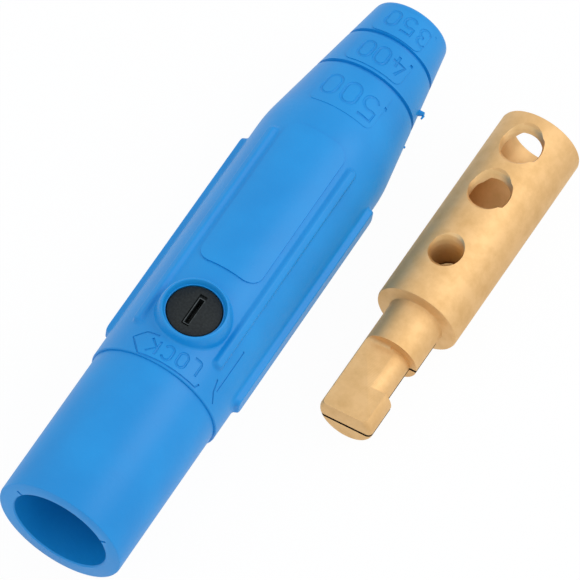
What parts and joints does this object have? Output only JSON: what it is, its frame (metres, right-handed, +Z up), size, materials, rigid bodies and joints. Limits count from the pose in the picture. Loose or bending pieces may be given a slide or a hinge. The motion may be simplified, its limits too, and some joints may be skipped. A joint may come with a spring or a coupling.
{
  "type": "cam-lock plug",
  "caption": "Round moulded insulating sleeve with grip ribs and slotted retaining screw, and the split-pin brass contact that goes in it, lying beside it.",
  "frame": {"origin": "centre of the whole set's box, at the surface it lies on", "axes": "+Y along the sleeve from its mouth to its cable end, +Z up along the retaining screw, +X towards the contact"},
  "size_m": [0.0456, 0.1056, 0.024],
  "materials": {
    "sleeve_blue": "satin moulded",
    "screw_black": "fine matte",
    "contact_brass": "machined satin"
  },
  "bodies": {
    "plug": {"insulator_sleeve": "sleeve_blue", "male_contact": "contact_brass"},
    "screw": {"retaining_screw": "screw_black"}
  },
  "joints": [
    {"name": "retaining_screw_turn", "type": "hinge", "parent": "plug", "child": "screw", "pos_m": [-0.0108, -0.0152, 0.0211], "axis": [0, 0, 1], "range_deg": [0, 1105]}
  ]
}
